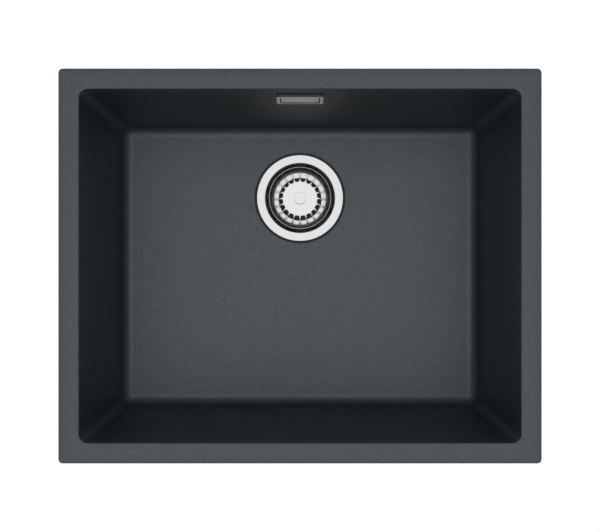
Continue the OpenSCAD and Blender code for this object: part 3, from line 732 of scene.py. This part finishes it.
def spoke(turn, inner, outer, width, low, high):
    """A bar of the cup's web, with its top edges broken: a small section swept along a radius."""
    section = np.array([(-1, 0), (1, 0), (1, 0.8), (0.8, 1), (-0.8, 1), (-1, 0.8)]) * [width / 2, high - low]
    along = np.array([inner, outer])
    c, s = math.cos(turn), math.sin(turn)
    grid = np.stack([
        drain[0] + along[:, None] * c - section[None, :, 0] * s,
        drain[1] + along[:, None] * s + section[None, :, 0] * c,
        np.broadcast_to(low + section[None, :, 1], (2, len(section))),
    ], axis=-1)
    points, quads = skin(grid, closed=False)
    return points, [list(q) for q in quads] + end_faces(len(section))


cup_shell = revolve(strainer_cup_profile(), 256)
hub = revolve([(hub_bore, web_low), (hub_radius, web_low), (hub_radius, web_high - hub_chamfer),
               (hub_radius - hub_chamfer, web_high), (hub_bore, web_high)], 64)
web = [spoke(turn, spoke_start, outlet_radius + spoke_overlap, spoke_width, web_low, web_high)
       for turn in np.radians([0, 90, 180, 270])]
cup = make_piece("strainer_cup_smooth", *join([cup_shell, hub] + web), "sink")
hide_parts("strainer_cup")
dress(cup, pressed)
print("cup:", len(cup.data.polygons), "faces")

# %% [markdown]
# ## The basket
#
# The basket is pressed from thin sheet: a beaded rim, a steep wall, a ring of windows with narrow bars
# between them, and a raised disc. Its section is a path from the rim down to the dish and up to the disc.

# %% Basket's section
bead_radius = 0.45 * mm
bead_ring = 39.95 * mm
basket_sheet = 0.8 * mm
disc_radius = 25.4 * mm
disc_depth = 12.6 * mm
disc_hole_share = 0.14
tooth_length = 2.3 * mm
dish_depth = 22.4 * mm
windows_top_depth = 16.5 * mm
wide_bend, tight_bend = 1 * mm, 0.8 * mm

wall_start = np.array([bead_ring - basket_sheet / 2, -bead_radius])
dish_foot = np.array([35.6 * mm, -dish_depth + 3.2 * mm])
wall_share = (windows_top_depth + wall_start[1]) / (wall_start[1] - dish_foot[1])
window_start = wall_start + (dish_foot - wall_start) * wall_share
trough = np.array([disc_radius + 3 * mm, -dish_depth])
teeth_end = disc_radius - tooth_length
wall_path = wall_start + (window_start - wall_start) * np.linspace(0, 1, 6)[:, None]
window_path = smooth_path([
    window_start,
    dish_foot,
    dish_foot + np.array([-1.4, -1.6]) * mm,
    trough,
    trough + np.array([-1.4, 1.2]) * mm,
    (disc_radius + 1 * mm, -disc_depth - 1.4 * mm),
    (disc_radius, -disc_depth),
    (teeth_end, -disc_depth),
], [wide_bend] * 2 + [tight_bend] * 4, 4)
disc_path = np.array([teeth_end, 0]) * np.linspace(1, disc_hole_share, 7)[:, None] + [0, -disc_depth]
print("section:", len(wall_path), "rows of wall,", len(window_path), "of windows,", len(disc_path), "of disc")

# %% [markdown]
# The surface is a grid of angle by distance along the section. The columns gather so that each bar keeps its
# width: half a bar's angle is the arcsine of half its width over the radius. The window faces are left out,
# and Solidify gives the sheet its thickness. The wall above the windows gets a far darker steel colour:
# painted shade, which stands in for the dark that this wall mirrors.

# %% Basket
bar_count = 20
bar_width = 2.2 * mm
widest_bar_share = 0.75
dish_margin = 4 * mm


def basket_surface():
    """Rows follow the section, columns go round. Each twentieth of the circle has a bar's columns, whose
    width stays the same at any radius, and a window's columns, left out in the window's rows."""
    rows = np.vstack([wall_path, window_path[1:], disc_path[1:]])
    first, last = len(wall_path) - 1, len(wall_path) + len(window_path) - 2
    bar_columns, window_columns = 3, 5
    radius = rows[:, 0]
    half_bar = np.arcsin(np.clip(bar_width / 2 / radius, 0, np.sin(np.pi / bar_count * widest_bar_share)))
    pitch = 2 * np.pi / bar_count
    bar_share = np.linspace(-1, 1, bar_columns + 1)
    window_share = np.linspace(0, 1, window_columns + 1)[1:-1]
    one = np.hstack([half_bar[:, None] * bar_share,
                     half_bar[:, None] + (pitch - 2 * half_bar[:, None]) * window_share])
    angle = (one[:, None, :] + pitch * np.arange(bar_count)[None, :, None]).reshape(len(rows), -1)
    grid = np.stack([drain[0] + radius[:, None] * np.cos(angle), drain[1] + radius[:, None] * np.sin(angle),
                     floor_z + np.broadcast_to(rows[:, 1:], angle.shape)], axis=-1)
    points, quads = skin(grid, closed=False)
    per = bar_columns + window_columns
    row, column = np.divmod(np.arange(len(quads)), angle.shape[1])
    in_window = (row >= first) & (row < last) & (column % per >= bar_columns)
    return points, quads[~in_window]


basket = make_piece("basket_smooth", *basket_surface(), "strainer", smooth_angle=180, shell=False)
centre_x, centre_y, centre_z = face_values(basket, "center").T
from_axis = np.hypot(centre_x - drain[0], centre_y - drain[1])
# The faces of the wall above the windows, which get the painted shade.
painted_shade_faces = (centre_z > floor_z - windows_top_depth) & (from_axis > disc_radius + dish_margin)
solid = basket.modifiers.new("sheet", "SOLIDIFY")
solid.thickness = basket_sheet
solid.offset = -1
solid.material_offset = -1
soft = basket.modifiers.new("rounding", "SUBSURF")
soft.levels = soft.render_levels = render_levels
bead_section = arc((bead_ring, floor_z - bead_radius), bead_radius, 0, 330, 11)
bead = make_piece("basket_bead", *revolve(bead_section, 256), "strainer")
for piece in (basket, bead):
    dress(piece, polished)
second_finish(basket, shaded_wall_steel, painted_shade_faces)
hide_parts("basket_dish")
print("basket:", len(basket.data.polygons), "faces before its thickness")

# %% [markdown]
# ## Knob
#
# The knob is a turned button on a waist, a profile turned round the same axis. A small round breaks its top
# edge and catches the light.

# %% Knob
knob_low, knob_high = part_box("basket_knob")
knob_radius = (knob_high.x - knob_low.x) / 2
knob_height = knob_high.z - knob_low.z
foot_radius, foot_round = 4.9 * mm, 0.4 * mm
cap_z = knob_height - 3.8 * mm
cap_round, cap_edge = 1 * mm, 0.22 * mm
face_margin = 0.7 * mm
knob_profile = np.vstack([
    [(0, 0)], [(foot_radius, 0)],
    arc((foot_radius, foot_round), foot_round, -90, 0, 3),
    smooth_path([(5.0 * mm, 0.8 * mm), (4.3 * mm, 2.2 * mm), (4.6 * mm, cap_z)], [1 * mm]),
    arc((knob_radius - cap_round, cap_z + cap_round), cap_round, -90, 0, 5),
    arc((knob_radius - cap_edge, knob_height - cap_edge), cap_edge, 0, 90, 5),
    [(knob_radius - face_margin, knob_height)], [(0, knob_height)],
])
knob_profile[:, 1] += knob_low.z
knob = make_piece("knob_smooth", *revolve(knob_profile, 96, closed=False), "strainer")
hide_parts("basket_knob")
dress(knob, polished)
print("knob:", round(2 * knob_radius / mm, 1), "mm across,", round(knob_height / mm, 1), "mm tall")

# %% [markdown]
# ## The overflow's cover
#
# The cover is a stamped plate that stands 3 mm off the wall. A U-shaped slot round its flap lets the water
# in, and a lip on each side grips the frame behind it. The plate and the slot are outlines in the wall's
# plane, one Boolean opens the slot, and a small bevel breaks the edges as stamping does. The cut edges are
# the faces whose normals lie in the wall's plane. They get a far darker steel colour: painted shade for the
# dark of the slot, on an edge that in real steel is only duller and rougher.

# %% Overflow cover
cover_half = np.array([27.2, 16.3]) * mm
cover_lift = 0.7 * mm
cover_corner = 1.5 * mm
cover_face = 3 * mm
cover_sheet = 1 * mm
cover_edge = 0.12 * mm
cover_lip_half, cover_lip_end = 8 * mm, 0.3 * mm
cut_reach = 1 * mm
slot_outside = (23.2 * mm, 13 * mm, -12.5 * mm, 3.5 * mm)
slot_inside = (21.9 * mm, 13 * mm, -8 * mm, 2.2 * mm)


def flap_edge(half_width, top, foot, corner):
    """From the top down the left side, across the foot and up the right: a rounded rectangle's lower half."""
    middle, half = (top + foot) / 2, (top - foot) / 2
    lower_corners = np.vstack(corner_arcs((half_width, half), corner, 10)[2:]) + [0, middle]
    return np.vstack([[-half_width, top], lower_corners, [half_width, top]])


def side_lip(side):
    """The lip at one side: a strip one sheet wide, from inside the plate nearly to the wall. Its corners are
    taken backwards on the left, so that both lips go round the same way."""
    outer, inner = side * cover_half[0], side * (cover_half[0] - cover_sheet)
    corners = np.array([(outer, -1), (inner, -1), (inner, 1), (outer, 1)]) * [1, cover_lip_half]
    return prism(corners[::side], cover_face - cover_sheet / 2, cover_lip_end)


slot_outline = np.vstack([flap_edge(*slot_outside), flap_edge(*slot_inside)[::-1]])
cover_outline = wall_outline(cover_half, cover_corner) + [0, cover_lift]
plate = prism(cover_outline, cover_face, cover_face - cover_sheet)
cover = make_piece("overflow_cover_smooth", *plate, "sink")
boolean(cover, [side_lip(-1), side_lip(1)], "UNION")
boolean(cover, [prism(slot_outline, cover_face + cut_reach, 0)])
dress(cover, satin)
_, normal_y, normal_z = face_values(cover, "normal").T
toward_bowl = -normal_y * math.cos(draft) + normal_z * math.sin(draft)
# The cut edges get the painted shade.
second_finish(cover, shaded_edge_steel, np.abs(toward_bowl) < 0.5)
edge = cover.modifiers.new("edge", "BEVEL")
edge.width = cover_edge
edge.segments = 2
edge.limit_method = "ANGLE"
edge.angle_limit = math.radians(50)
edge.harden_normals = True
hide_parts("overflow_cover")
print("overflow cover:", len(cover.data.polygons), "faces before its bevel")

# %% [markdown]
# ## The overflow's hose
#
# The hose is a ribbed tube held at both ends: clipped on the housing's spigot, it runs down parallel to the
# wall, turns once through a quarter circle and pushes over the tail at the waste. Its middle is a straight
# run, an arc and a straight run, and a ring of points is carried along it.

# %% Hose's middle line
hose_low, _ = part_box("overflow_hose")
hose_bend = 28 * mm
hose_out = 19.5 * mm
hose_drop = 22 * mm
side_port_drop = 42 * mm
wall_up = np.array([math.sin(draft), math.cos(draft)])
wall_out = np.array([math.cos(draft), -math.sin(draft)])
hose_start = np.array([wall_y, overflow_middle_z]) - hose_drop * wall_up + hose_out * wall_out
hose_end_y = hose_low.y
bend_z = floor_z - side_port_drop + hose_bend
bend_y = (hose_start @ wall_out - hose_bend - wall_out[1] * bend_z) / wall_out[0]
bend_centre = np.array([bend_y, bend_z])
down_run = np.linalg.norm(bend_centre + hose_bend * wall_out - hose_start)
bend_run = hose_bend * (np.pi / 2 - draft)
hose_length = down_run + bend_run + bend_y - hose_end_y


def hose_rings(along, radius, sides=48):
    """Rings square to the hose's middle. Along the arc the ring's outward side turns from square to the wall
    to straight down; before it the middle goes down the wall, after it level toward the waste."""
    share = np.clip((along - down_run) / bend_run, 0, 1)
    turn = -draft - share * (np.pi / 2 - draft)
    ray = np.column_stack([np.cos(turn), np.sin(turn)])
    middle = bend_centre + hose_bend * ray
    middle -= np.minimum(along - down_run, 0)[:, None] * wall_up
    middle[:, 0] -= np.maximum(along - down_run - bend_run, 0)
    round_it = np.linspace(0, 2 * np.pi, sides, endpoint=False)
    outward = radius[:, None] * np.sin(round_it)
    return np.stack([radius[:, None] * np.cos(round_it), middle[:, :1] + outward * ray[:, :1],
                     middle[:, 1:] + outward * ray[:, 1:]], axis=-1)


print("hose:", round(hose_length / mm), "mm long, bend at", np.round(bend_centre / mm, 1))

# %% [markdown]
# The ring's radius swings as a cosine from rib to rib, and stays even on the two cuffs. A power below one
# fattens the ribs, as a moulded hose has them. The bore comes back as a second, plain tube.

# %% Hose
crest_radius, valley_radius, hose_bore = 9 * mm, 7.9 * mm, 7 * mm
cuff_length, cuff_radius = 18 * mm, 8.4 * mm
cuff_break, cuff_break_run, cuff_margin = 0.4 * mm, 0.5 * mm, 1 * mm
rib_spacing = 4 * mm
rib_power = 0.6
rows_per_rib, bore_rows = 8, 60
rib_count = round((hose_length - 2 * cuff_length) / rib_spacing)

ribbed = np.linspace(cuff_length, hose_length - cuff_length, rib_count * rows_per_rib + 1)
swing = (1 - np.cos(np.linspace(0, rib_count * 2 * np.pi, len(ribbed)))) / 2
rib_radii = valley_radius + (crest_radius - valley_radius) * swing ** rib_power
cuff_along = np.array([0, cuff_break_run, cuff_length - cuff_margin])
cuff_radii = np.array([cuff_radius - cuff_break, cuff_radius, cuff_radius])
outside_along = np.concatenate([cuff_along, ribbed, hose_length - cuff_along[::-1]])
outside_radius = np.concatenate([cuff_radii, rib_radii, cuff_radii[::-1]])
hose_grid = hose_rings(np.concatenate([outside_along, np.linspace(hose_length, 0, bore_rows)]),
                       np.concatenate([outside_radius, np.full(bore_rows, hose_bore)]))
hose = make_piece("overflow_hose_ribbed", *skin(hose_grid, closed=True), "sink")
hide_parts("overflow_hose")
dress(hose, dark_plastic)
print("hose:", rib_count, "ribs,", len(hose.data.polygons), "faces")

# %% [markdown]
# ## Light
#
# The photograph is lit from straight above: the walls, which almost stand upright, are far darker than the
# floor. One wide lamp overhead does that at a level where a colour renders as it is written, and low lamps
# round the sides reach the outside under the rim and never the inside.

# %% Lamps
def sun(name, strength, spread, direction):
    """A lamp whose light travels along a direction, with an angular size in degrees."""
    data = bpy.data.lights.new(name, "SUN")
    data.energy = strength
    data.angle = math.radians(spread)
    lamp = bpy.data.objects.new(name, data)
    lamp.rotation_euler = Vector(direction).to_track_quat("-Z", "Y").to_euler()
    bpy.context.scene.collection.objects.link(lamp)
    return lamp


overhead_strength, overhead_spread = 2.8, 12
low_strength, low_spread, low_rise = 0.7, 30, 0.12
overhead = sun("overhead", overhead_strength, overhead_spread, (0, 0, -1))
overhead.visible_glossy = False
low_lamps = [sun(f"low_{k}", low_strength, low_spread, (math.cos(a), math.sin(a), low_rise))
             for k, a in enumerate(np.radians([45, 135, 225, 315]))]
print("lamps:", 1 + len(low_lamps))

# %% [markdown]
# ## The room round the sink
#
# Polished steel looks like what it mirrors. Reflections see a room whose shade depends on how far up they
# look: a bright ceiling, dark upper walls, and a paler band below them down to the horizon. The ceiling leans
# by a few degrees. The camera itself sees plain white, and as a light the room is dim, so that the bowl's
# inside keeps its contrast.

# %% World
room = [(0.0, 0.55), (0.28, 0.4), (0.45, 0.03), (0.6, 0.03), (0.96, 1.0)]
ceiling_lean = math.radians(5)
room_light = 0.05

world = bpy.data.worlds.new("studio")
world.use_nodes = True
bpy.context.scene.world = world
add = node_adder(world.node_tree)
path, seen = seen_rays(add)
direction = add("ShaderNodeTexCoord").outputs["Generated"]
upward = (0, -math.sin(ceiling_lean), math.cos(ceiling_lean))
height = add("ShaderNodeVectorMath", {0: direction, 1: upward}, operation="DOT_PRODUCT")
mirrored = ramp(add, height.outputs["Value"], [(place, (shade,) * 3) for place, shade in room], "EASE")
bright = add("ShaderNodeMath", {0: path.outputs["Is Camera Ray"], 1: mirrored}, operation="MAXIMUM")
level = add("ShaderNodeMapRange", {"To Min": room_light, "To Max": bright.outputs["Value"], "Value": seen})
connect(world.node_tree.nodes["Background"], {"Color": (1, 1, 1, 1), "Strength": level.outputs["Result"]})
print("room:", len(room), "shades from the horizon to the ceiling")

# %% [markdown]
# ## The floor
#
# A wide pale sheet lies under the part's lowest point and takes its shadow. A faint glow, which only the
# camera and reflections see, lifts it to the white of the photograph's background and adds no light.

# %% Floor
floor_reach = 4.0
floor_glow = 0.14
lowest = cad_bounds[0][2]
floor_mesh = bpy.data.meshes.new("studio_floor")
floor_corners = [(x * floor_reach, y * floor_reach, lowest) for x, y in [(-1, -1), (1, -1), (1, 1), (-1, 1)]]
floor_mesh.from_pydata(floor_corners, [], [(0, 1, 2, 3)])
floor = bpy.data.objects.new("studio_floor", floor_mesh)
bpy.context.scene.collection.objects.link(floor)
pale, shader, add = new_finish("pale_floor")
_, seen = seen_rays(add)
glow = add("ShaderNodeMath", {0: seen, 1: floor_glow}, operation="MULTIPLY")
connect(shader, {"Base Color": (0.95, 0.95, 0.95, 1), "Roughness": 0.9, "Specular IOR Level": 0.0,
                 "Emission Color": (1, 1, 1, 1), "Emission Strength": glow.outputs["Value"]})
dress(floor, pale)
print("floor at", round(lowest / mm, 1), "mm")

# %% [markdown]
# ## Finish
#
# The picture keeps plain colours.

# %% Finish
bpy.context.scene.view_settings.view_transform = "Standard"
